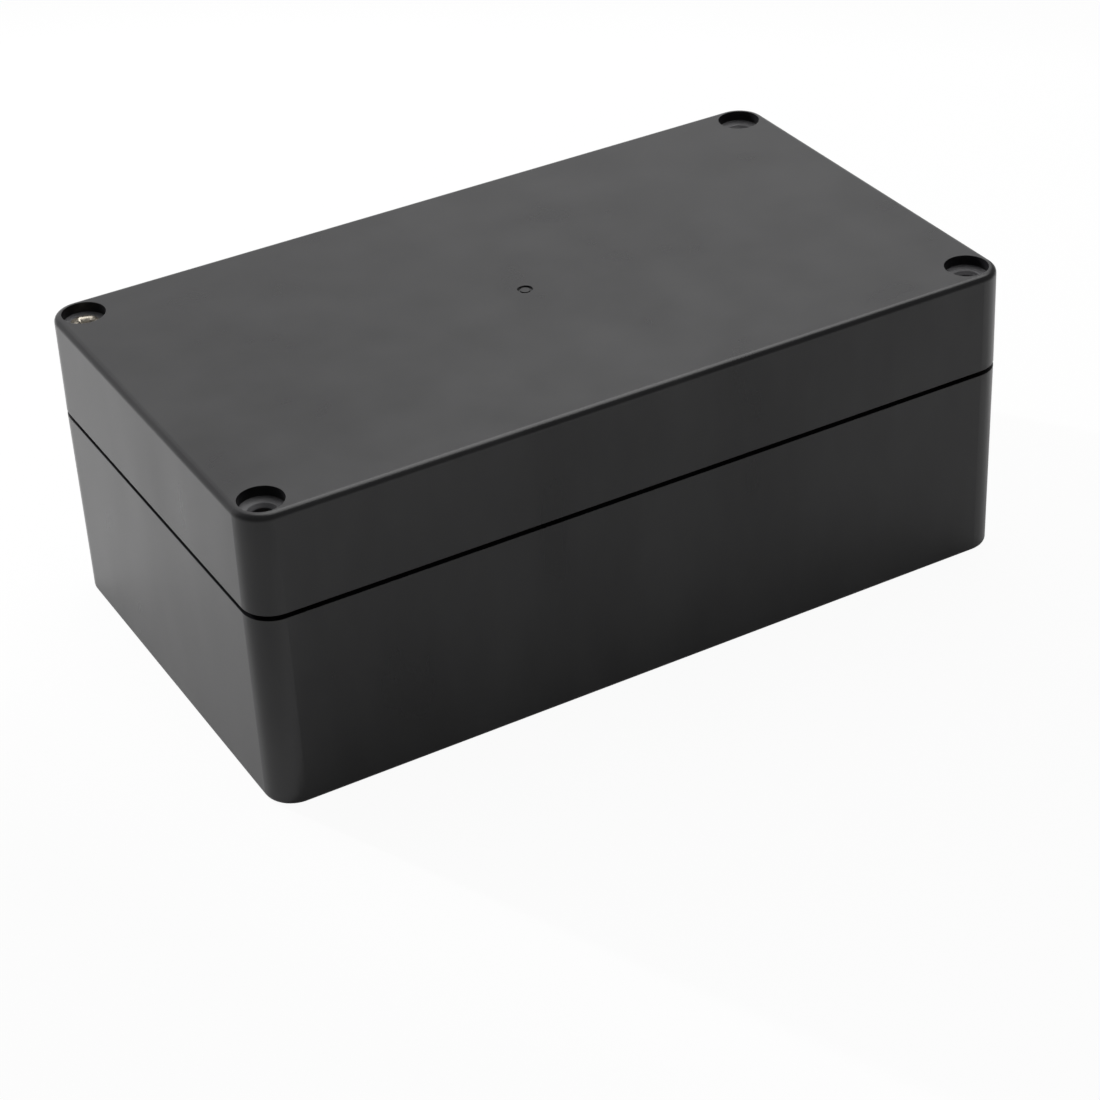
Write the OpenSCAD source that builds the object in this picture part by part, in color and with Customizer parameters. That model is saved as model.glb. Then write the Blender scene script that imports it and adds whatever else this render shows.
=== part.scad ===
/*
    Plastic project box with a deep screwed lid, in millimetres.

    The origin is at the middle of the underside, X runs along the long sides and Z points up.
    The base and the lid are two mouldings with one wall section each, swept round the corners.
    A cord lies in the lid's groove and rests on the base's tongue. The groove, the tongue and both
    cavities follow one seal line, which passes inside the four screw posts, so that the screws
    stay outside the seal. The posts stand up into bores in the lid and carry its corner bosses.
*/

/* [Outside] */
// Length of the box along X
box_l = 158; // [130:1:220]
// Width of the box along Y
box_w = 90; // [75:1:140]
// Height of the base's outer walls
base_h = 40; // [30:1:70]
// Height of the lid's outer walls
lid_h = 20; // [19:1:40]
// Height of the shadow gap that the seal keeps open between base and lid
parting_gap = 1; // [0.4:0.1:1.4]
// Radius of the vertical corners
corner_r = 5.8; // [4:0.1:8]
// Radius of the lid's top edge
lid_edge_r = 1.3; // [0.8:0.1:1.3]
// Radius of the base's bottom edge
base_edge_r = 0.9; // [0.2:0.1:1.5]
// Draft of the lid's outer walls in degrees
lid_draft = 0.5; // [0:0.1:1]
// Draft of the base's outer walls in degrees
base_draft = 0.15; // [0:0.05:0.5]

/* [Walls] */
// Thickness of the base's side walls
base_wall_t = 3; // [2.8:0.1:4]
// Thickness of the base's floor
floor_t = 3; // [2:0.1:5]
// Thickness of the lid's top
top_t = 3; // [2:0.1:4.5]

/* [Seal] */
// Diameter of the sealing cord
cord_d = 2; // [1.8:0.1:2.4]
// Height of the cord when the lid presses on it
cord_pressed_h = 1.7; // [1.4:0.05:1.8]
// Gap between the cord and each side of its groove
cord_gap = 0.05; // [0.03:0.01:0.1]
// Thickness of the lips on both sides of the groove
lip_t = 1; // [0.8:0.1:1.3]
// Depth of the groove
groove_depth = 3.5; // [3:0.1:4.5]
// Gap between the tongue and each side of the groove
tongue_gap = 0.35; // [0.3:0.05:0.5]

/* [Screw posts] */
// Distance from the outer faces to the axis of a post
post_inset = 5.8; // [5.6:0.1:7]
// Diameter of a post where it stands in the lid
post_d = 7.6; // [7:0.1:8]
// Gap between a post and its bore in the lid
post_gap = 0.3; // [0.2:0.05:0.4]
// Wall between that bore and the seal groove
bore_wall_t = 1.2; // [1:0.1:2]
// Thickness of the lid's boss between the pocket and the post
boss_t = 6; // [4:0.1:7]
// Diameter of the core that hollows the column from below
core_d = 7.8; // [6:0.1:8]
// Thickness of plastic left above that core
core_roof_t = 4; // [3:0.1:8]
// Diameter of the brass insert
insert_d = 4.2; // [4:0.1:4.8]
// Length of the insert
insert_l = 6; // [4:0.1:7]
// Gap between the insert and its hole
insert_gap = 0.02; // [0.01:0.01:0.05]
// Depth of the grooves that anchor the insert
insert_groove = 0.3; // [0.1:0.05:0.4]

/* [Lid screw] */
// Diameter of the screw's thread
screw_d = 3; // [2.5:0.1:3.2]
// Length of the screw with its head
screw_l = 15; // [12:0.5:16]
// Diameter of the countersunk head
head_d = 5.6; // [5.2:0.1:6]
// Height of the straight rim of the head
head_rim = 0.15; // [0.1:0.05:0.4]
// Length of one bar of the cross recess
recess_l = 3; // [2:0.1:3.4]
// Width of one bar of the cross recess
recess_w = 0.6; // [0.4:0.1:1]
// Depth of the cross recess
recess_depth = 1; // [0.5:0.1:1.2]
// Gap between the thread and the insert
thread_gap = 0.1; // [0.05:0.01:0.15]
// Gap between the head and its seat, down the axis
seat_gap = 0.1; // [0.05:0.05:0.2]
// Room left below the screw's tip
tip_room = 1; // [0.5:0.1:2]

/* [Lid pockets] */
// Diameter of the pocket round a screw's head
pocket_d = 8.4; // [7.6:0.1:8.6]
// Depth of the pocket at its wall
pocket_depth = 2; // [1.5:0.1:3]
// How far the pocket's ledge falls from its wall to the countersink
ledge_fall = 0.4; // [0.1:0.05:0.5]
// Diameter of the countersink at the height of the wall's foot
seat_d = 6.1; // [6:0.1:6.8]
// Diameter of the hole that a screw passes through
screw_hole_d = 4; // [3.8:0.1:4.4]

/* [Gate mark] */
// Diameter of the dimple left by the moulding gate
gate_d = 3; // [2.4:0.1:5]
// Depth of the dimple
gate_depth = 0.3; // [0.1:0.05:0.6]
// Diameter of the stub in the dimple
gate_stub_d = 1.9; // [0.6:0.1:2]
// Height of the stub
gate_stub_h = 0.2; // [0.05:0.05:0.3]

/* [Board bosses] */
// Distance between the boss axes along X
board_pitch_x = 122; // [80:1:124]
// Distance between the boss axes along Y
board_pitch_y = 58; // [40:1:60]
// Diameter of a boss
board_boss_d = 6; // [5:0.1:8]
// Height of a boss above the floor
board_boss_h = 5; // [3:0.5:12]
// Diameter of its pilot hole
pilot_d = 2.5; // [2:0.1:3]
// Depth of its pilot hole
pilot_depth = 6; // [3:0.5:7]
// Radius of the foot round a boss
board_foot_r = 0.8; // [0.4:0.1:1.5]

/* [Hidden] */
$fn = 96;

// The corners in the order of NODES' inserts, each a quarter turn on from the last
CORNERS = [[1, 1], [-1, 1], [-1, -1], [1, -1]];
BACK_LEFT = 1;

// How far a cutting shape passes through the face that it opens
pierce = 1;

// Heights of the lid's parting face and of the closed box
lid_bottom = base_h + parting_gap;
box_h = lid_bottom + lid_h;

// Section of the seal: the groove in the lid and the tongue on the base
groove_w = cord_d + 2 * cord_gap;
groove_top = lid_bottom + groove_depth;
tongue_w = groove_w - 2 * tongue_gap;
tongue_top = groove_top - cord_pressed_h;

// The seal line keeps this far inside the outer faces, and this far from the post axes
seal_inset = lip_t + groove_w / 2;
bore_r = post_d / 2 + post_gap;
seal_post_r = bore_r + bore_wall_t + groove_w / 2;

// It leaves a side in a quarter turn of this radius, centred this far along the side from the post
seal_bend_r = post_inset - seal_inset;
seal_turn = seal_post_r + seal_bend_r;

// Heights at a screw: the pocket's ledge, the screw's head and tip, and the post
ledge_z = box_h - pocket_depth;
post_top = ledge_z - boss_t;
head_z = ledge_z - (seat_d - head_d) / 2 + head_rim + seat_gap;
tip_z = head_z - screw_l;
hole_bottom = tip_z - tip_room;
seat_depth = (seat_d - screw_hole_d) / 2;

// The core's end leaves its roof below the screw's hole and below the top of the column
core_top = min(hole_bottom, base_h) - core_roof_t;

plastic = [0.07, 0.07, 0.075];
silicone = [0.9, 0.9, 0.87];
brass = [0.78, 0.6, 0.3];
steel = [0.72, 0.72, 0.74];

// Places its children on the post axis of one corner
module at_corner(i) {
    translate([CORNERS[i].x * (box_l / 2 - post_inset), CORNERS[i].y * (box_w / 2 - post_inset), 0])
        children();
}

// Places its children on all four post axes, turned so that +X and +Y point into the box
module at_corners() {
    for (i = [0:3]) at_corner(i) rotate([0, 0, 90 * (i + 2)]) children();
}

// A plain cylinder between two heights
module pin(d, z1, z2) {
    translate([0, 0, z1]) cylinder(h = z2 - z1, d = d);
}

// Half of the outer wall's section: open side at y = 0, closed side with its rounded edge at y = depth
module wall_section(depth, draft, edge_r) {
    edge_x = corner_r - (depth - edge_r) * tan(draft) - edge_r / cos(draft);
    edge_y = depth - edge_r;
    polygon([
        [0, 0],
        [corner_r, 0],
        [edge_x + edge_r * cos(draft), edge_y + edge_r * sin(draft)],
        [edge_x, depth],
        [0, depth]
    ]);
    translate([edge_x, edge_y]) circle(r = edge_r);
}

// Sweeps a section round the outside, with x = 0 on the centres of the rounded corners
module around_outside() {
    mid = [box_l / 2 - corner_r, box_w / 2 - corner_r];
    for (i = [0:3]) {
        translate([CORNERS[i].x * mid.x, CORNERS[i].y * mid.y, 0])
            rotate([0, 0, 90 * i]) rotate_extrude(angle = 90) children();
        across = i % 2 == 0 ? mid.x : mid.y;
        along = i % 2 == 0 ? mid.y : mid.x;
        rotate([0, 0, 90 * i]) translate([across, along, 0])
            rotate([90, 0, 0]) linear_extrude(2 * along) children();
    }
}

// A solid block with the outer walls' draft and rounded edge, its open side down
module outer_block(depth, draft, edge_r) {
    around_outside() wall_section(depth, draft, edge_r);
    translate([corner_r - box_l / 2, corner_r - box_w / 2, 0])
        cube([box_l - 2 * corner_r, box_w - 2 * corner_r, depth]);
}

// The area inside the seal line, grown outwards by grow
module seal_area(grow) {
    reach = 2 * (seal_inset - grow);
    clear = 2 * (post_inset + seal_turn);
    difference() {
        union() {
            square([box_l - reach, box_w - clear], center = true);
            square([box_l - clear, box_w - reach], center = true);
            at_corners() {
                square(seal_turn);
                translate([seal_turn, 0]) circle(r = seal_bend_r + grow);
                translate([0, seal_turn]) circle(r = seal_bend_r + grow);
            }
        }
        at_corners() circle(r = seal_post_r - grow);
    }
}

// A wall of width w along the seal line, between two heights
module seal_wall(w, z1, z2) {
    translate([0, 0, z1]) linear_extrude(z2 - z1) difference() {
        seal_area(w / 2);
        seal_area(-w / 2);
    }
}

// Sweeps a section along the seal line, with x = 0 on the line
module along_seal() {
    for (i = [0:3]) {
        across = (i % 2 == 0 ? box_l : box_w) / 2 - seal_inset;
        along = (i % 2 == 0 ? box_w : box_l) / 2 - post_inset - seal_turn;
        rotate([0, 0, 90 * i]) translate([across, along, 0])
            rotate([90, 0, 0]) linear_extrude(2 * along) children();
    }
    at_corners() {
        rotate_extrude(angle = 90) translate([seal_post_r, 0]) children();
        for (bend = [[seal_turn, 0], [0, seal_turn]])
            translate(bend) rotate([0, 0, 180]) rotate_extrude(angle = 90)
                translate([seal_bend_r, 0]) children();
    }
}

// Places its children on the axes of the board bosses
module at_board_bosses() {
    for (c = CORNERS) translate([c.x * board_pitch_x / 2, c.y * board_pitch_y / 2, floor_t]) children();
}

// A boss for a board's screw, with a rounded foot
module board_boss() {
    cylinder(h = board_boss_h, d = board_boss_d);
    rotate_extrude() difference() {
        square([board_boss_d / 2 + board_foot_r, board_foot_r]);
        translate([board_boss_d / 2 + board_foot_r, board_foot_r]) circle(r = board_foot_r);
    }
}

// The open box: walls, floor, tongue, screw posts and board bosses
module base() {
    color(plastic) difference() {
        union() {
            difference() {
                translate([0, 0, base_h]) mirror([0, 0, 1])
                    outer_block(base_h, base_draft, base_edge_r);
                translate([0, 0, floor_t]) linear_extrude(base_h) seal_area(seal_inset - base_wall_t);
            }
            seal_wall(tongue_w, base_h, tongue_top);
            at_corners() pin(post_d, base_h, post_top);
            at_board_bosses() board_boss();
        }
        at_corners() {
            pin(insert_d + 2 * insert_gap, post_top - insert_l, post_top + pierce);
            pin(screw_d + 2 * thread_gap, hole_bottom, post_top);
            pin(core_d, -pierce, core_top);
        }
        at_board_bosses() pin(pilot_d, board_boss_h - pilot_depth, board_boss_h + pierce);
    }
}

// The pocket, its sloping ledge, the countersink and the hole for one screw, cut down from the lid's top
module screw_cut() {
    rotate_extrude() polygon([
        [0, post_top - pierce],
        [screw_hole_d / 2, post_top - pierce],
        [screw_hole_d / 2, ledge_z - seat_depth],
        [seat_d / 2 - ledge_fall, ledge_z - ledge_fall],
        [pocket_d / 2, ledge_z],
        [pocket_d / 2, box_h + pierce],
        [0, box_h + pierce]
    ]);
}

// The deep lid: top, walls with the cord's groove, corner bosses and the gate's mark
module lid() {
    color(plastic) union() {
        difference() {
            translate([0, 0, lid_bottom]) outer_block(lid_h, lid_draft, lid_edge_r);
            translate([0, 0, lid_bottom - pierce]) linear_extrude(lid_h - top_t + pierce)
                seal_area(-groove_w / 2 - lip_t);
            seal_wall(groove_w, lid_bottom - pierce, groove_top);
            at_corners() {
                pin(2 * bore_r, lid_bottom - pierce, post_top);
                screw_cut();
            }
            pin(gate_d, box_h - gate_depth, box_h + pierce);
        }
        pin(gate_stub_d, box_h - gate_depth, box_h - gate_depth + gate_stub_h);
    }
}

// The sealing cord as it lies in the lid's groove: twelve-sided, and pressed flat above and below
module gasket() {
    color(silicone) along_seal() translate([0, groove_top - cord_pressed_h / 2]) intersection() {
        circle(d = cord_d, $fn = 12);
        square([cord_d + pierce, cord_pressed_h], center = true);
    }
}

// A brass insert, flush with the top of its post and grooved where the plastic grips it
module insert(i) {
    band = insert_l / 5;
    color(brass) at_corner(i) difference() {
        pin(insert_d, post_top - insert_l, post_top);
        for (k = [1, 3]) translate([0, 0, post_top - insert_l + k * band]) difference() {
            cylinder(h = band, d = insert_d + pierce);
            cylinder(h = band, d = insert_d - 2 * insert_groove);
        }
        pin(screw_d + 2 * thread_gap, post_top - insert_l - pierce, post_top + pierce);
    }
}

// The countersunk screw that is fitted, with its thread as a plain shank
module lid_screw() {
    cone = (head_d - screw_d) / 2;
    color(steel) at_corner(BACK_LEFT) difference() {
        union() {
            pin(screw_d, tip_z, head_z - head_rim);
            pin(head_d, head_z - head_rim, head_z);
            translate([0, 0, head_z - head_rim - cone]) cylinder(h = cone, d1 = screw_d, d2 = head_d);
        }
        for (turn = [0, 90]) rotate([0, 0, turn]) translate([-recess_l / 2, -recess_w / 2, head_z - recess_depth])
            cube([recess_l, recess_w, recess_depth + pierce]);
    }
}

base();
lid();
gasket();
lid_screw();
insert(0);  // insert_back_right
insert(1);  // insert_back_left
insert(2);  // insert_front_left
insert(3);  // insert_front_right
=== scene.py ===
"""Finish and studio for a sealed plastic project box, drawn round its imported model."""

import math

import bmesh
import bpy
from mathutils import Matrix, Vector


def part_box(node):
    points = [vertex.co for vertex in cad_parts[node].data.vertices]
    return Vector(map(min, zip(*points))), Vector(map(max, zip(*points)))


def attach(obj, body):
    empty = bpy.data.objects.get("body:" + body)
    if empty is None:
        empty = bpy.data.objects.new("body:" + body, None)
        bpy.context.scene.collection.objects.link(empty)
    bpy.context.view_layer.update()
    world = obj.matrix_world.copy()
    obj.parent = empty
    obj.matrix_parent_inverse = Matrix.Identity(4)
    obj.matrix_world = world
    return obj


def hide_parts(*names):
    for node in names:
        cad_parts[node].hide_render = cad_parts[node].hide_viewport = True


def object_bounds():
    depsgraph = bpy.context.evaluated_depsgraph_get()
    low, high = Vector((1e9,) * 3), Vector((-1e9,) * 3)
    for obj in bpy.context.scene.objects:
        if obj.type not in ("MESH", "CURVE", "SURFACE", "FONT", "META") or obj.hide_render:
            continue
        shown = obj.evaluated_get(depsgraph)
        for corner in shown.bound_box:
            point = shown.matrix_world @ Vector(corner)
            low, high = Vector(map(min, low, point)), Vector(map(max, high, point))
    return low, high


bl_info = {
    "name": "Plastic project box",
    "version": (1, 0, 0),
    "blender": (4, 5, 0),
    "location": "View3D > Sidebar > Project box",
    "description": "Moulded case, sealing cord, brass inserts, lid screw and studio",
    "category": "Object",
}

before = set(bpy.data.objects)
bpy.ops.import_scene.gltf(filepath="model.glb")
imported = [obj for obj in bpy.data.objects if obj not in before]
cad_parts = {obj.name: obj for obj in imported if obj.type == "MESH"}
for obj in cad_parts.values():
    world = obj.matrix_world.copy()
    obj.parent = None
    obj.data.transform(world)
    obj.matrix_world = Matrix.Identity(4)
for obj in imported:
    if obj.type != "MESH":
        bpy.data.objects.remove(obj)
cad_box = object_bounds()

MM = 0.001
INSERTS = ("insert_back_right", "insert_back_left", "insert_front_left", "insert_front_right")

# Edges that turn by more than this stay sharp, and nearer vertices become one
SHARP_ANGLE = math.radians(35)
SAME_VERTEX = 1e-7
SAME_POINT = 1e-6

PLASTIC_IOR = 1.53
SILICONE_IOR = 1.41

# Range in which a noise mostly stays, spread over the values that the noise varies
NOISE_RANGE = (0.3, 0.7)

# The flow marks' size, how far they move the roughness either way, and the mean shine
FLOW_SIZE = 14 * MM
FLOW_ROUGHNESS = 0.03
PLAIN_SHINE = 0.5

# Cloudy tarnish on the metals: size, darkest share of the colour, and roughness either way
CLOUD_SIZE = 1.2 * MM
CLOUD_TINT = 0.8
CLOUD_ROUGHNESS = 0.06

# Depth of the turning lines on the metals
LINE_DEPTH = 0.003 * MM

# Dust on the silicone: size of its spots, height, and the roughness between and on them
DUST_SIZE = 1.5 * MM
DUST_DEPTH = 0.01 * MM
DUST_ROUGHNESS = (0.42, 0.58)

# A thread's ramp: its top over the ridge's middle, and how fast it falls along a turn
RIDGE_TOP = 1.35
RIDGE_FALL = 3.2

# Rings in one turn of the screw's thread and of an insert's
SCREW_RINGS = 8
BORE_RINGS = 6

# The screw's thread in shares of its pitch: depth, first turn, and where and how far it fades in
THREAD_DEPTH = 0.6
THREAD_START = 0.5
FADE_START = 0.3
FADE_LENGTH = 1.2

# The screw's point, as shares of the thread's radius and of the pitch
POINT_RADIUS = 0.35
POINT_HEIGHT = 0.35

# The screw's neck below its cone, as shares of the thread's depth and of the pitch
NECK = ((-0.5, -0.8), (-0.1, -0.1))

# Small roundings of the screw's head, as radius and height: the cone's foot, its edge, the rim
FOOT_ROUND = (0.06 * MM, 0.1 * MM)
EDGE_ROUND = (0.03 * MM, 0.02 * MM)
EDGE_RISE = 0.03 * MM
RIM_ROUND = (0.06 * MM, 0.07 * MM)

# The cross recess: how far its cutters stand past the head, a wing's half widths at the top and
# at the bottom, its depth and lower share of the reach, and the bowl as radius and height
CUTTER_PAST = 0.2 * MM
WING_PAST = 0.1 * MM
WING_TOP = 0.33 * MM
WING_BOTTOM = 0.24 * MM
WING_DEPTH = 1.25 * MM
WING_LOWER_SHARE = 0.5
BOWL = ((0.05 * MM, -1.5 * MM), (0.72 * MM, -0.95 * MM), (1.0 * MM, CUTTER_PAST))

# The inserts: knurl depth, edges of the knurled bands, bore's lead-in, and bands with the grooves
KNURL_DEPTH = 0.2 * MM
BAND_EDGE = 0.1 * MM
BORE_LEAD = 0.15 * MM
BANDS = 5

# The floor's radius, and how far it lies below the box
FLOOR_RADIUS = 6.0
FLOOR_DROP = 0.05 * MM
WHITE = (1, 1, 1, 1)

# Square lamps: name, place and width in metres, power, and whether surfaces mirror them
LAMPS = (
    ("soft_overhead", (0.400, 0.230, 1.110), 1.0, 7.0, True),
    ("soft_back", (0.392, 1.078, 0.803), 1.8, 6.1, True),
    ("soft_back_left", (-0.776, 1.029, 0.547), 1.0, 1.4, True),
    ("floor_wash", (-0.247, 1.161, 0.742), 0.7, 6.0, False),
)

# The narrow beam for the floor that the box's left side mirrors
BEAM_PLACE = (-0.53, 0.96, 0.5)
BEAM_AIM = (0.1, 0.0, 0.0)
BEAM_POWER = 58.0
BEAM_CONE = math.radians(19)
BEAM_BLEND = 0.12
BEAM_SOURCE = 0.02


# ---------------------------------------------------------------- settings


class CaseFinish(bpy.types.PropertyGroup):
    """Moulded black plastic of the base and the lid."""

    colour: bpy.props.FloatVectorProperty(
        name="Plastic colour",
        description="Colour of the moulded plastic",
        subtype="COLOR",
        size=3,
        min=0.0,
        max=1.0,
        default=(0.0115, 0.0112, 0.0125),
    )
    roughness: bpy.props.FloatProperty(
        name="Roughness",
        description="Roughness of the spark-eroded mould surface",
        default=0.3,
        min=0.05,
        max=1.0,
    )
    grain_size: bpy.props.FloatProperty(
        name="Grain size",
        description="Distance between two grains of the moulded texture",
        default=0.22 * MM,
        min=0.05 * MM,
        max=2 * MM,
        unit="LENGTH",
    )
    grain_depth: bpy.props.FloatProperty(
        name="Grain depth",
        description="Height of the moulded texture",
        default=0.006 * MM,
        min=0.0,
        max=0.1 * MM,
        unit="LENGTH",
    )
    pocket_roughness: bpy.props.FloatProperty(
        name="Pocket roughness",
        description="Roughness inside the screw pockets, which the mould's turned pins leave matt",
        default=0.5,
        min=0.05,
        max=1.0,
    )
    # Painted highlight: how many times lighter the plastic's colour is made inside the pockets,
    # standing in for the lamp light that their ledges mirror
    pocket_painted_highlight: bpy.props.FloatProperty(
        name="Pocket lightness",
        description="How many times lighter the matt plastic in the pockets is",
        default=5.0,
        min=1.0,
        max=10.0,
    )
    pocket_shine: bpy.props.FloatProperty(
        name="Pocket shine",
        description="Shine that the turned pins add inside the pockets",
        default=0.5,
        min=0.0,
        max=1.0,
    )
    ring_pitch: bpy.props.FloatProperty(
        name="Ring pitch",
        description="Distance between the turning rings in the pockets",
        default=0.3 * MM,
        min=0.1 * MM,
        max=2 * MM,
        unit="LENGTH",
    )
    edge_radius: bpy.props.FloatProperty(
        name="Edge radius",
        description="How far the mould's sharp edges look rounded",
        default=0.15 * MM,
        min=0.0,
        max=1 * MM,
        unit="LENGTH",
    )
    pocket_radius: bpy.props.FloatProperty(
        name="Pocket radius",
        description="Distance from a post's axis within which the plastic is matt",
        default=4.15 * MM,
        min=2 * MM,
        max=6 * MM,
        unit="LENGTH",
    )
    pocket_reach: bpy.props.FloatProperty(
        name="Pocket reach",
        description="Depth below the lid's top down to which the pockets are matt",
        default=4.5 * MM,
        min=1 * MM,
        max=20 * MM,
        unit="LENGTH",
    )
    flow_marks: bpy.props.FloatProperty(
        name="Flow marks",
        description="How far the shine varies along the plastic's flow",
        default=0.05,
        min=0.0,
        max=0.5,
    )
    wave_size: bpy.props.FloatProperty(
        name="Wave size",
        description="Distance between two slow waves that cooling leaves in a wall",
        default=22 * MM,
        min=2 * MM,
        max=100 * MM,
        unit="LENGTH",
    )
    wave_depth: bpy.props.FloatProperty(
        name="Wave depth",
        description="Height of the slow waves that cooling leaves in a wall",
        default=0.25 * MM,
        min=0.0,
        max=1 * MM,
        unit="LENGTH",
    )


class CordShape(bpy.types.PropertyGroup):
    """Silicone sealing cord in the lid's groove."""

    colour: bpy.props.FloatVectorProperty(
        name="Silicone colour",
        description="Colour of the sealing cord",
        subtype="COLOR",
        size=3,
        min=0.0,
        max=1.0,
        default=(0.78, 0.78, 0.74),
    )
    diameter: bpy.props.FloatProperty(
        name="Cord diameter",
        description="Diameter of the cord before the lid presses it",
        default=2 * MM,
        min=1 * MM,
        max=4 * MM,
        unit="LENGTH",
    )
    post_turn: bpy.props.FloatProperty(
        name="Turn round a post",
        description="Distance from a post's axis to the cord that passes inside it",
        default=6.35 * MM,
        min=5 * MM,
        max=10 * MM,
        unit="LENGTH",
    )
    turn_points: bpy.props.IntProperty(
        name="Points in a turn",
        description="Points along each quarter turn of the cord",
        default=16,
        min=4,
        max=64,
    )
    round_points: bpy.props.IntProperty(
        name="Points round",
        description="Points round the cord's section",
        default=32,
        min=8,
        max=96,
    )


class ScrewShape(bpy.types.PropertyGroup):
    """Countersunk lid screw with a cross recess."""

    shank: bpy.props.FloatProperty(
        name="Thread diameter",
        description="Outside diameter of the thread",
        default=2.96 * MM,
        min=2 * MM,
        max=3 * MM,
        unit="LENGTH",
    )
    pitch: bpy.props.FloatProperty(
        name="Thread pitch",
        description="Distance between two turns of the thread",
        default=0.5 * MM,
        min=0.25 * MM,
        max=1 * MM,
        unit="LENGTH",
    )
    head_rim: bpy.props.FloatProperty(
        name="Rim of the head",
        description="Height of the straight rim round the head",
        default=0.15 * MM,
        min=0.05 * MM,
        max=0.5 * MM,
        unit="LENGTH",
    )
    recess: bpy.props.FloatProperty(
        name="Recess width",
        description="Distance across the wings of the cross recess",
        default=3.0 * MM,
        min=2 * MM,
        max=3.4 * MM,
        unit="LENGTH",
    )
    stop_angle: bpy.props.FloatProperty(
        name="Stop angle",
        description="Turn of the cross recess when the screw is tight",
        default=math.radians(25),
        subtype="ANGLE",
    )
    colour: bpy.props.FloatVectorProperty(
        name="Steel colour",
        description="Colour of the plated steel",
        subtype="COLOR",
        size=3,
        min=0.0,
        max=1.0,
        default=(0.56, 0.51, 0.43),
    )


class InsertShape(bpy.types.PropertyGroup):
    """Threaded brass inserts in the base's posts."""

    bore: bpy.props.FloatProperty(
        name="Thread bore",
        description="Diameter at the roots of the inside thread",
        default=3.18 * MM,
        min=2.9 * MM,
        max=3.6 * MM,
        unit="LENGTH",
    )
    ridge: bpy.props.FloatProperty(
        name="Thread ridge",
        description="How far the inside thread stands into the bore",
        default=0.07 * MM,
        min=0.02 * MM,
        max=0.3 * MM,
        unit="LENGTH",
    )
    pitch: bpy.props.FloatProperty(
        name="Thread pitch",
        description="Distance between two turns of the inside thread",
        default=0.5 * MM,
        min=0.25 * MM,
        max=1 * MM,
        unit="LENGTH",
    )
    groove: bpy.props.FloatProperty(
        name="Groove depth",
        description="Depth of the two grooves that the plastic grips",
        default=0.3 * MM,
        min=0.1 * MM,
        max=0.5 * MM,
        unit="LENGTH",
    )
    teeth: bpy.props.IntProperty(
        name="Knurl teeth",
        description="Teeth of the knurl round an insert",
        default=24,
        min=8,
        max=60,
    )
    colour: bpy.props.FloatVectorProperty(
        name="Brass colour",
        description="Colour of the turned brass",
        subtype="COLOR",
        size=3,
        min=0.0,
        max=1.0,
        default=(0.66, 0.46, 0.19),
    )


class StudioSetup(bpy.types.PropertyGroup):
    """Pale floor, soft lamps and camera."""

    floor_colour: bpy.props.FloatVectorProperty(
        name="Floor colour",
        description="Colour of the pale floor",
        subtype="COLOR",
        size=3,
        min=0.0,
        max=1.0,
        default=(0.8, 0.8, 0.8),
    )
    shadow_share: bpy.props.FloatProperty(
        name="Shadow share",
        description="How much of the lit floor, with its shadow, shows in the white surface",
        default=0.05,
        min=0.0,
        max=1.0,
        subtype="FACTOR",
    )
    mirror_share: bpy.props.FloatProperty(
        name="Mirror share",
        description="How much of the white surroundings shows in reflections",
        default=0.15,
        min=0.0,
        max=1.0,
        subtype="FACTOR",
    )
    sky_level: bpy.props.FloatProperty(
        name="Sky level",
        description="Plain light from all round",
        default=0.06,
        min=0.0,
        max=2.0,
    )
    lens: bpy.props.FloatProperty(
        name="Lens",
        description="Focal length in millimetres, for a 36 mm sensor",
        default=94.8017,
        min=10,
        max=300,
    )
    azimuth: bpy.props.FloatProperty(
        name="Azimuth",
        description="Turn of the camera round the box",
        default=math.radians(-28.2389),
        subtype="ANGLE",
    )
    elevation: bpy.props.FloatProperty(
        name="Elevation",
        description="Height of the camera above the horizon",
        default=math.radians(33.3572),
        subtype="ANGLE",
    )
    roll: bpy.props.FloatProperty(
        name="Roll",
        description="Turn of the picture about the line of sight",
        default=math.radians(-3.0109),
        subtype="ANGLE",
    )
    distance: bpy.props.FloatProperty(
        name="Distance",
        description="From the camera to the point that it looks at",
        default=560.812 * MM,
        unit="LENGTH",
    )
    target: bpy.props.FloatVectorProperty(
        name="Target",
        description="Point that the camera looks at",
        size=3,
        subtype="XYZ",
        unit="LENGTH",
        default=(-4.304 * MM, -12.465 * MM, 10.726 * MM),
    )


# ---------------------------------------------------------------- materials


def node(tree, kind, at, **inputs):
    """Adds a shader node at a place in the tree, and sets its named inputs."""
    made = tree.nodes.new(kind)
    made.location = at
    for name, value in inputs.items():
        made.inputs[name.replace("_", " ")].default_value = value
    return made


def new_material(name):
    """An empty node material with its output and its shader, ready to be linked."""
    material = bpy.data.materials.new(name)
    material.use_nodes = True
    tree = material.node_tree
    tree.nodes.clear()
    output = node(tree, "ShaderNodeOutputMaterial", (600, 0))
    shader = node(tree, "ShaderNodeBsdfPrincipled", (300, 0))
    tree.links.new(shader.outputs["BSDF"], output.inputs["Surface"])
    return material, tree, shader


def noise(tree, at, size, detail=2.0, roughness=0.5, stretch=(1.0, 1.0, 1.0)):
    """Noise whose features are size metres across, in the box's own space."""
    where = node(tree, "ShaderNodeTexCoord", (at[0] - 400, at[1]))
    scaled = node(tree, "ShaderNodeMapping", (at[0] - 200, at[1]), Scale=stretch)
    made = node(tree, "ShaderNodeTexNoise", at, Scale=1 / size, Detail=detail, Roughness=roughness)
    tree.links.new(where.outputs["Object"], scaled.inputs["Vector"])
    tree.links.new(scaled.outputs["Vector"], made.inputs["Vector"])
    return made.outputs["Fac"]


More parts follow.
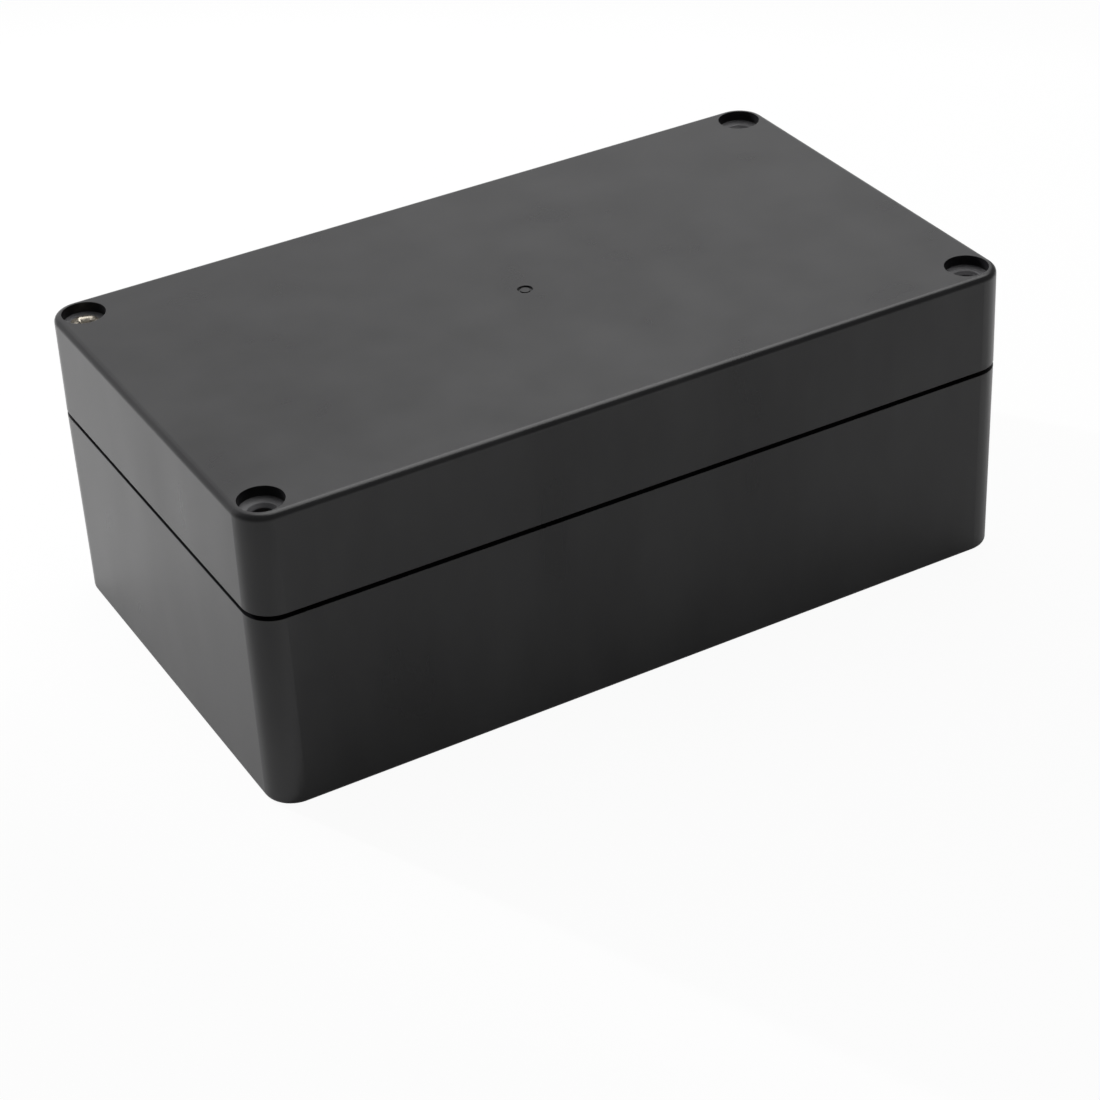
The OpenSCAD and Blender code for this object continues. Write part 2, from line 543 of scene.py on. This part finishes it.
def bump(tree, at, height, distance, below=None):
    """A bump of the given height in metres, laid over another bump if one is given."""
    made = node(tree, "ShaderNodeBump", at, Strength=1.0, Distance=distance)
    tree.links.new(height, made.inputs["Height"])
    if below is not None:
        tree.links.new(below, made.inputs["Normal"])
    return made.outputs["Normal"]


def vary(tree, at, factor, low, high):
    """Spreads the noise's usual range over a plain range of values."""
    made = node(tree, "ShaderNodeMapRange", at)
    made.inputs["From Min"].default_value = NOISE_RANGE[0]
    made.inputs["From Max"].default_value = NOISE_RANGE[1]
    made.inputs["To Min"].default_value = low
    made.inputs["To Max"].default_value = high
    tree.links.new(factor, made.inputs["Value"])
    return made.outputs["Result"]


def dress(piece, material):
    """Puts one material on every slot of a piece."""
    if not piece.material_slots:
        piece.data.materials.append(material)
    for slot in piece.material_slots:
        slot.material = material


def arithmetic(tree, at, operation, first, second=None):
    """A math node on links or plain numbers."""
    made = node(tree, "ShaderNodeMath", at)
    made.operation = operation
    for socket, value in zip(made.inputs, (first, second)):
        if isinstance(value, (int, float)):
            socket.default_value = value
        elif value is not None:
            tree.links.new(value, socket)
    return made.outputs[0]


def post_distance(tree, at):
    """Distance from the nearest of the four screw posts' axes, and the height."""
    post = centre("insert_back_right")
    where = node(tree, "ShaderNodeTexCoord", (at[0] - 800, at[1]))
    split = node(tree, "ShaderNodeSeparateXYZ", (at[0] - 600, at[1]))
    tree.links.new(where.outputs["Object"], split.inputs["Vector"])
    squares = []
    for i, axis in enumerate("XY"):
        drop = at[1] - 200 * i
        side = arithmetic(tree, (at[0] - 450, drop), "ABSOLUTE", split.outputs[axis])
        off = arithmetic(tree, (at[0] - 300, drop), "SUBTRACT", side, post[i])
        squares.append(arithmetic(tree, (at[0] - 150, drop), "MULTIPLY", off, off))
    total = arithmetic(tree, at, "ADD", squares[0], squares[1])
    return arithmetic(tree, (at[0] + 150, at[1]), "SQRT", total), split.outputs["Z"]


def pocket_mask(tree, finish, from_post, height):
    """One inside the screw pockets and nought outside them."""
    floor_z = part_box("lid")[1].z - finish.pocket_reach
    near = arithmetic(tree, (-400, 700), "LESS_THAN", from_post, finish.pocket_radius)
    high = arithmetic(tree, (-400, 550), "GREATER_THAN", height, floor_z)
    return arithmetic(tree, (-250, 700), "MULTIPLY", near, high)


def moulded_plastic(finish):
    """Black moulded plastic: fine grain, slow waves, faint flow marks and matt, ringed pockets whose
    colour is lightened as a painted highlight.
    """
    material, tree, shader = new_material("black_moulded_plastic")
    flow = noise(tree, (-600, 300), FLOW_SIZE, detail=3.0, stretch=(1.0, 1.0, 0.35))
    grain = noise(tree, (-600, -100), finish.grain_size, detail=3.0, roughness=0.65)
    waves = noise(tree, (-600, -400), finish.wave_size, detail=1.0, stretch=(1.0, 1.0, 0.6))

    from_post, height = post_distance(tree, (-700, 700))
    pocket = pocket_mask(tree, finish, from_post, height)

    # Painted highlight: a lighter copy of the plastic's colour inside the pockets, standing in for
    # mirrored lamp light
    tint = node(tree, "ShaderNodeMix", (0, 300))
    tint.data_type = "RGBA"
    tint.inputs["A"].default_value = (*finish.colour, 1)
    tint.inputs["B"].default_value = (*[c * finish.pocket_painted_highlight for c in finish.colour], 1)
    tree.links.new(pocket, tint.inputs["Factor"])
    tree.links.new(tint.outputs["Result"], shader.inputs["Base Color"])

    low = finish.roughness - FLOW_ROUGHNESS
    high = finish.roughness + FLOW_ROUGHNESS
    rough = node(tree, "ShaderNodeMix", (0, 50))
    rough.inputs["B"].default_value = finish.pocket_roughness
    tree.links.new(pocket, rough.inputs["Factor"])
    tree.links.new(vary(tree, (-200, 50), flow, low, high), rough.inputs["A"])
    tree.links.new(rough.outputs["Result"], shader.inputs["Roughness"])

    low = PLAIN_SHINE - finish.flow_marks
    high = PLAIN_SHINE + finish.flow_marks
    shine = vary(tree, (0, 500), flow, low, high)
    glint = arithmetic(tree, (0, 600), "MULTIPLY", pocket, finish.pocket_shine)
    shine = arithmetic(tree, (150, 500), "ADD", shine, glint)
    tree.links.new(shine, shader.inputs["Specular IOR Level"])

    soft_edge = node(tree, "ShaderNodeBevel", (-400, -600), Radius=finish.edge_radius)
    soft_edge.samples = 6
    turn = arithmetic(tree, (-400, 900), "MULTIPLY", from_post, 2 * math.pi / finish.ring_pitch)
    rings = arithmetic(tree, (-300, 1000), "SINE", turn)
    rings = arithmetic(tree, (-200, 900), "MULTIPLY", rings, pocket)
    turned = bump(tree, (-200, -600), rings, finish.grain_depth / 2, below=soft_edge.outputs["Normal"])
    slow = bump(tree, (-200, -400), waves, finish.wave_depth, below=turned)
    fine = bump(tree, (0, -200), grain, finish.grain_depth, below=slow)
    tree.links.new(fine, shader.inputs["Normal"])
    shader.inputs["IOR"].default_value = PLASTIC_IOR
    return material


def soft_silicone(shape):
    """Translucent white silicone with a dusty surface."""
    material, tree, shader = new_material("white_silicone")
    dust = noise(tree, (-600, 0), DUST_SIZE, detail=4.0)
    shader.inputs["Base Color"].default_value = (*shape.colour, 1)
    rough = vary(tree, (0, 0), dust, *DUST_ROUGHNESS)
    tree.links.new(rough, shader.inputs["Roughness"])
    shader.inputs["Subsurface Weight"].default_value = 0.3
    shader.inputs["Subsurface Radius"].default_value = (0.6, 0.6, 0.55)
    shader.inputs["Subsurface Scale"].default_value = 1 * MM
    shader.inputs["IOR"].default_value = SILICONE_IOR
    skin = bump(tree, (0, -200), dust, DUST_DEPTH)
    tree.links.new(skin, shader.inputs["Normal"])
    return material


def bright_metal(name, colour, roughness, lines):
    """Turned or plated metal with cloudy tarnish and fine turning lines round its axis."""
    material, tree, shader = new_material(name)
    marks = noise(tree, (-600, 0), lines, detail=3.0, stretch=(0.4, 0.4, 3.0))
    cloud = noise(tree, (-600, 300), CLOUD_SIZE)
    shader.inputs["Metallic"].default_value = 1.0
    tint = node(tree, "ShaderNodeMix", (0, 300))
    tint.data_type = "RGBA"
    tint.inputs["A"].default_value = (*[c * CLOUD_TINT for c in colour], 1)
    tint.inputs["B"].default_value = (*colour, 1)
    tree.links.new(cloud, tint.inputs["Factor"])
    tree.links.new(tint.outputs["Result"], shader.inputs["Base Color"])
    rough = vary(tree, (0, 50), cloud, roughness - CLOUD_ROUGHNESS, roughness + CLOUD_ROUGHNESS)
    tree.links.new(rough, shader.inputs["Roughness"])
    turned = bump(tree, (0, -200), marks, LINE_DEPTH)
    tree.links.new(turned, shader.inputs["Normal"])
    return material


# ---------------------------------------------------------------- mesh helpers


def ring(bm, points):
    """Adds the vertices of one ring."""
    return [bm.verts.new(p) for p in points]


def bridge(bm, lower, upper):
    """Joins two rings of the same length with faces."""
    count = len(lower)
    for i in range(count):
        j = (i + 1) % count
        bm.faces.new((lower[i], lower[j], upper[j], upper[i]))


def finish_mesh(bm, name):
    """Turns a bmesh into an object whose faces are smooth up to the sharp angle."""
    bmesh.ops.remove_doubles(bm, verts=bm.verts, dist=SAME_VERTEX)
    bmesh.ops.recalc_face_normals(bm, faces=bm.faces)
    for face in bm.faces:
        face.smooth = True
    for edge in bm.edges:
        edge.smooth = not (edge.is_manifold and edge.calc_face_angle(0) > SHARP_ANGLE)
    mesh = bpy.data.meshes.new(name)
    bm.to_mesh(mesh)
    bm.free()
    piece = bpy.data.objects.new(name, mesh)
    bpy.context.scene.collection.objects.link(piece)
    return piece


def circle(radius, z, count):
    """Points of a level circle about the Z axis; radius may be a function of the angle."""
    points = []
    for i in range(count):
        turn = 2 * math.pi * i / count
        r = radius(turn) if callable(radius) else radius
        points.append((r * math.cos(turn), r * math.sin(turn), z))
    return points


def thread_radius(z, crest, depth, pitch):
    """Radius of a thread at height z, as a function of the angle."""

    def at(turn):
        phase = (z / pitch - turn / (2 * math.pi)) % 1.0
        rise = min(1.0, max(0.0, RIDGE_TOP - RIDGE_FALL * abs(phase - 0.5)))
        return crest - depth * (1.0 - rise)

    return at


def lathe(name, profile, count, bored=False):
    """A turned body from (radius, height) pairs, upward; a bored one comes back down its bore."""
    bm = bmesh.new()
    rings = [ring(bm, circle(radius, z, count)) for radius, z in profile]
    for lower, upper in zip(rings, rings[1:]):
        bridge(bm, lower, upper)
    if bored:
        bridge(bm, rings[-1], rings[0])
    else:
        bm.faces.new(rings[0][::-1])
        bm.faces.new(rings[-1])
    return finish_mesh(bm, name)


def cut_out(piece, cutter):
    """Cuts one piece out of another and removes the cutter."""
    step = piece.modifiers.new("cut", "BOOLEAN")
    step.operation = "DIFFERENCE"
    step.solver = "EXACT"
    step.object = cutter
    with bpy.context.temp_override(object=piece, active_object=piece, selected_objects=[piece]):
        bpy.ops.object.modifier_apply(modifier="cut")
    bpy.data.objects.remove(cutter)


def centre(node_name):
    """Middle of a CAD node's box."""
    low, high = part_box(node_name)
    return (low + high) / 2


# ---------------------------------------------------------------- operators


class BOX_OT_case(bpy.types.Operator):
    """Gives the base and the lid their moulded black finish"""

    bl_idname = "project_box.case"
    bl_label = "Finish the case"

    def execute(self, context):
        finish = context.scene.case_finish
        plastic = moulded_plastic(finish)
        for name in ("base", "lid"):
            dress(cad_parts[name], plastic)
        return {"FINISHED"}


class BOX_OT_cord(bpy.types.Operator):
    """Lays the round silicone cord in the lid's groove"""

    bl_idname = "project_box.cord"
    bl_label = "Lay the sealing cord"

    def execute(self, context):
        shape = context.scene.cord_shape
        low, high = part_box("gasket")
        wide = shape.diameter / 2
        flat = (high.z - low.z) / 2
        middle = (high.z + low.z) / 2
        route = self.route(shape, high.x - wide)
        bm = bmesh.new()
        rings = []
        for before, here, after in zip(route[-1:] + route, route, route[1:] + route[:1]):
            along = (after - before).normalized()
            outward = Vector((along.y, -along.x))
            points = []
            for i in range(shape.round_points):
                turn = 2 * math.pi * i / shape.round_points
                side = here + outward * (wide * math.cos(turn))
                height = max(-flat, min(flat, wide * math.sin(turn)))
                points.append((side.x, side.y, middle + height))
            rings.append(ring(bm, points))
        for lower, upper in zip(rings, rings[1:] + rings[:1]):
            bridge(bm, lower, upper)
        cord = finish_mesh(bm, "sealing_cord")
        dress(cord, soft_silicone(shape))
        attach(cord, "lid")
        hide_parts("gasket")
        return {"FINISHED"}

    def route(self, shape, half_length):
        """The seal line, anticlockwise: it leaves each side, passes inside the post and comes back."""
        post = centre("insert_back_right")
        bend = half_length - post.x
        reach = bend + shape.post_turn
        turns = (
            ((post.x, post.y - reach), bend, 0, 90),
            ((post.x, post.y), shape.post_turn, 270, 180),
            ((post.x - reach, post.y), bend, 0, 90),
        )
        corner = []
        for middle, radius, start, end in turns:
            for i in range(shape.turn_points + 1):
                turn = math.radians(start + (end - start) * i / shape.turn_points)
                corner.append(Vector(middle) + radius * Vector((math.cos(turn), math.sin(turn))))
        points = []
        for x, y in ((1, 1), (-1, 1), (-1, -1), (1, -1)):
            mirrored = [Vector((x * p.x, y * p.y)) for p in corner]
            points += mirrored if x * y > 0 else mirrored[::-1]
        return [p for p, q in zip(points, points[1:] + points[:1]) if (p - q).length > SAME_POINT]


class BOX_OT_screw(bpy.types.Operator):
    """Turns the countersunk lid screw with its thread and cross recess"""

    bl_idname = "project_box.screw"
    bl_label = "Turn the lid screw"

    def execute(self, context):
        shape = context.scene.screw_shape
        low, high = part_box("lid_screw")
        middle = centre("lid_screw")
        length = high.z - low.z
        profile = self.profile(shape, (high.x - low.x) / 2, length)
        screw = lathe("lid_screw_threaded", profile, count=64)
        self.cut_recess(screw, shape.recess / 2, length)
        screw.rotation_euler.z = shape.stop_angle
        screw.location = (middle.x, middle.y, low.z)
        dress(screw, bright_metal("plated_steel", shape.colour, roughness=0.3, lines=0.06 * MM))
        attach(screw, "screw")
        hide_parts("lid_screw")
        return {"FINISHED"}

    def profile(self, shape, head_r, length):
        """The point, the thread that fades in, the shank under the cone, the cone and the rim."""
        crest = shape.shank / 2
        depth = THREAD_DEPTH * shape.pitch
        cone_top = length - shape.head_rim
        cone_bottom = cone_top - (head_r - crest)
        points = [(POINT_RADIUS * crest, 0), (crest - depth, POINT_HEIGHT * shape.pitch)]
        step = shape.pitch / SCREW_RINGS
        z = THREAD_START * shape.pitch
        while z < cone_bottom - shape.pitch:
            fade = min(1.0, (z - FADE_START * shape.pitch) / (FADE_LENGTH * shape.pitch))
            top = crest - depth * (1 - fade)
            points.append((thread_radius(z, top, depth * fade, shape.pitch), z))
            z += step
        points += [(crest + r * depth, cone_bottom + h * shape.pitch) for r, h in NECK]
        points += [
            (crest + FOOT_ROUND[0], cone_bottom + FOOT_ROUND[1]),
            (head_r - EDGE_ROUND[0], cone_top - EDGE_ROUND[1]),
            (head_r, cone_top + EDGE_RISE),
            (head_r, length - RIM_ROUND[1]),
            (head_r - RIM_ROUND[0], length),
        ]
        return points

    def cut_recess(self, screw, reach, top):
        """Cuts the four tapered wings and the bowl between them."""
        for turn in (0, 90):
            wing = bmesh.new()
            upper, lower = [], []
            for sx, sy in ((-1, -1), (1, -1), (1, 1), (-1, 1)):
                upper.append((sx * (reach + WING_PAST), sy * WING_TOP, top + CUTTER_PAST))
                lower.append((sx * reach * WING_LOWER_SHARE, sy * WING_BOTTOM, top - WING_DEPTH))
            rings = [ring(wing, lower), ring(wing, upper)]
            bridge(wing, *rings)
            wing.faces.new(rings[0][::-1])
            wing.faces.new(rings[1])
            wing.transform(Matrix.Rotation(math.radians(turn), 4, "Z"))
            cut_out(screw, finish_mesh(wing, "recess_wing"))
        bowl = [(radius, top + z) for radius, z in BOWL]
        cut_out(screw, lathe("recess_bowl", bowl, count=24))


class BOX_OT_inserts(bpy.types.Operator):
    """Turns the four threaded brass inserts"""

    bl_idname = "project_box.inserts"
    bl_label = "Turn the brass inserts"

    def execute(self, context):
        shape = context.scene.insert_shape
        brass = bright_metal("turned_brass", shape.colour, roughness=0.28, lines=0.05 * MM)
        for name in INSERTS:
            low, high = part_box(name)
            profile = self.outside(shape, (high.x - low.x) / 2, high.z - low.z)
            profile += self.bore(shape, high.z - low.z)
            insert = lathe("knurled_" + name, profile, 4 * shape.teeth, bored=True)
            middle = centre(name)
            insert.location = (middle.x, middle.y, low.z)
            dress(insert, brass)
            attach(insert, "base")
            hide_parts(name)
        return {"FINISHED"}

    def outside(self, shape, radius, length):
        """Three knurled bands with two plain grooves between them, bottom to top."""

        def knurl(turn):
            tooth = abs((turn * shape.teeth / (2 * math.pi)) % 1.0 - 0.5)
            return radius - KNURL_DEPTH * tooth

        plain = radius - shape.groove
        band = length / BANDS
        profile = [(radius - 2 * BAND_EDGE, 0), (knurl, BAND_EDGE)]
        for k in range(1, BANDS, 2):
            profile += [
                (knurl, k * band - BAND_EDGE),
                (plain, k * band),
                (plain, (k + 1) * band),
                (knurl, (k + 1) * band + BAND_EDGE),
            ]
        profile += [(knurl, length - BAND_EDGE), (radius - 2 * BAND_EDGE, length)]
        return profile

    def bore(self, shape, length):
        """The threaded bore, top to bottom, with a small lead-in at both ends."""
        wide = shape.bore / 2
        step = shape.pitch / BORE_RINGS
        profile = [(wide + BORE_LEAD, length), (wide, length - BORE_LEAD)]
        z = length - BORE_LEAD - step
        while z > BORE_LEAD + step:
            profile.append((thread_radius(z, wide, shape.ridge, shape.pitch), z))
            z -= step
        profile += [(wide, BORE_LEAD), (wide + BORE_LEAD, 0)]
        return profile


class BOX_OT_stage(bpy.types.Operator):
    """Sets up the floor, the world, the lamps and the camera"""

    bl_idname = "project_box.stage"
    bl_label = "Set up the studio"

    def execute(self, context):
        studio = context.scene.studio_setup
        self.lay_floor(studio)
        self.light_world(studio)
        self.hang_lamps(studio)
        self.place_camera(studio)
        context.scene.view_settings.view_transform = "Standard"
        return {"FINISHED"}

    def seen_white(self, tree, camera_share, mirror_share):
        """How much of the white surface each kind of ray sees."""
        path = node(tree, "ShaderNodeLightPath", (-900, 0))
        seen = None
        shares = (
            ("Is Camera Ray", camera_share),
            ("Is Transmission Ray", camera_share),
            ("Is Glossy Ray", mirror_share),
        )
        for i, (ray, share) in enumerate(shares):
            part = arithmetic(tree, (-650, -200 * i), "MULTIPLY", path.outputs[ray], share)
            if seen is None:
                seen = part
            else:
                seen = arithmetic(tree, (-400, -200 * i), "MAXIMUM", seen, part)
        return seen

    def lay_floor(self, studio):
        """A wide level floor under the box, white to the eye, that keeps the box's shadow."""
        bm = bmesh.new()
        bmesh.ops.create_circle(bm, cap_ends=True, radius=FLOOR_RADIUS, segments=64)
        floor = finish_mesh(bm, "studio_floor")
        floor.location.z = cad_box[0].z - FLOOR_DROP
        material, tree, shader = new_material("studio_floor")
        shader.inputs["Base Color"].default_value = (*studio.floor_colour, 1)
        shader.inputs["Roughness"].default_value = 0.9
        white = node(tree, "ShaderNodeEmission", (300, -400), Color=WHITE, Strength=1.0)
        seen = self.seen_white(tree, 1 - studio.shadow_share, studio.mirror_share)
        mix = node(tree, "ShaderNodeMixShader", (500, -200))
        output = tree.nodes["Material Output"]
        tree.links.new(seen, mix.inputs[0])
        tree.links.new(shader.outputs[0], mix.inputs[1])
        tree.links.new(white.outputs[0], mix.inputs[2])
        tree.links.new(mix.outputs[0], output.inputs["Surface"])
        dress(floor, material)

    def light_world(self, studio):
        """A plain grey sky that the camera sees as white."""
        world = bpy.data.worlds.new("studio_world")
        world.use_nodes = True
        tree = world.node_tree
        tree.nodes.clear()
        output = node(tree, "ShaderNodeOutputWorld", (600, 0))
        plain = node(tree, "ShaderNodeBackground", (0, 200), Color=WHITE, Strength=studio.sky_level)
        white = node(tree, "ShaderNodeBackground", (0, -200), Color=WHITE, Strength=1.0)
        mix = node(tree, "ShaderNodeMixShader", (300, 0))
        tree.links.new(self.seen_white(tree, 1.0, studio.mirror_share), mix.inputs[0])
        tree.links.new(plain.outputs[0], mix.inputs[1])
        tree.links.new(white.outputs[0], mix.inputs[2])
        tree.links.new(mix.outputs[0], output.inputs["Surface"])
        bpy.context.scene.world = world

    def hang_lamps(self, studio):
        """Square lamps and a narrow beam; no surface mirrors the wash or the beam themselves."""
        for name, place, width, power, mirrored in LAMPS:
            light = bpy.data.lights.new(name, "AREA")
            light.shape = "SQUARE"
            light.size = width
            self.hang(light, place, power, studio.target, mirrored)
        beam = bpy.data.lights.new("floor_beam", "SPOT")
        beam.spot_size = BEAM_CONE
        beam.spot_blend = BEAM_BLEND
        beam.shadow_soft_size = BEAM_SOURCE
        self.hang(beam, BEAM_PLACE, BEAM_POWER, BEAM_AIM, False)

    def hang(self, light, place, power, target, mirrored):
        """Hangs one lamp and turns it toward its target."""
        light.energy = power
        lamp = bpy.data.objects.new(light.name, light)
        lamp.visible_glossy = mirrored
        lamp.location = place
        aim = Vector(target) - lamp.location
        lamp.rotation_mode = "QUATERNION"
        lamp.rotation_quaternion = aim.to_track_quat("-Z", "Y")
        bpy.context.scene.collection.objects.link(lamp)

    def place_camera(self, studio):
        """The camera looks at its target from an azimuth and an elevation, then rolls."""
        back = Vector((
            math.sin(studio.azimuth) * math.cos(studio.elevation),
            -math.cos(studio.azimuth) * math.cos(studio.elevation),
            math.sin(studio.elevation),
        ))
        level = Vector((math.cos(studio.azimuth), math.sin(studio.azimuth), 0))
        upright = back.cross(level)
        turned = Matrix((level, upright, back)).transposed()
        roll = Matrix.Rotation(studio.roll, 3, "Z")
        data = bpy.data.cameras.new("studio_camera")
        data.sensor_width = 36
        data.lens = studio.lens
        data.clip_start = 0.01
        data.clip_end = 50
        camera = bpy.data.objects.new("studio_camera", data)
        camera.location = Vector(studio.target) + back * studio.distance
        camera.rotation_mode = "QUATERNION"
        camera.rotation_quaternion = (turned @ roll).to_quaternion()
        bpy.context.scene.collection.objects.link(camera)
        bpy.context.scene.camera = camera


class BOX_PT_panel(bpy.types.Panel):
    """Lists the settings of the project box and its steps"""

    bl_idname = "BOX_PT_panel"
    bl_label = "Project box"
    bl_space_type = "VIEW_3D"
    bl_region_type = "UI"
    bl_category = "Project box"

    def draw(self, context):
        for title, group, operator in STEPS:
            box = self.layout.box()
            box.label(text=title)
            settings = getattr(context.scene, group)
            for name in settings.__annotations__:
                box.prop(settings, name)
            box.operator(operator)


STEPS = (
    ("Case", "case_finish", "project_box.case"),
    ("Sealing cord", "cord_shape", "project_box.cord"),
    ("Lid screw", "screw_shape", "project_box.screw"),
    ("Brass inserts", "insert_shape", "project_box.inserts"),
    ("Studio", "studio_setup", "project_box.stage"),
)
GROUPS = {
    "case_finish": CaseFinish,
    "cord_shape": CordShape,
    "screw_shape": ScrewShape,
    "insert_shape": InsertShape,
    "studio_setup": StudioSetup,
}
CLASSES = (
    *GROUPS.values(),
    BOX_OT_case,
    BOX_OT_cord,
    BOX_OT_screw,
    BOX_OT_inserts,
    BOX_OT_stage,
    BOX_PT_panel,
)


def register():
    for cls in CLASSES:
        bpy.utils.register_class(cls)
    for name, group in GROUPS.items():
        setattr(bpy.types.Scene, name, bpy.props.PointerProperty(type=group))


def unregister():
    for name in GROUPS:
        delattr(bpy.types.Scene, name)
    for cls in reversed(CLASSES):
        bpy.utils.unregister_class(cls)


def main():
    register()
    bpy.ops.project_box.case()
    bpy.ops.project_box.cord()
    bpy.ops.project_box.screw()
    bpy.ops.project_box.inserts()
    bpy.ops.project_box.stage()
    bpy.context.view_layer.update()


if __name__ == "__main__":
    main()
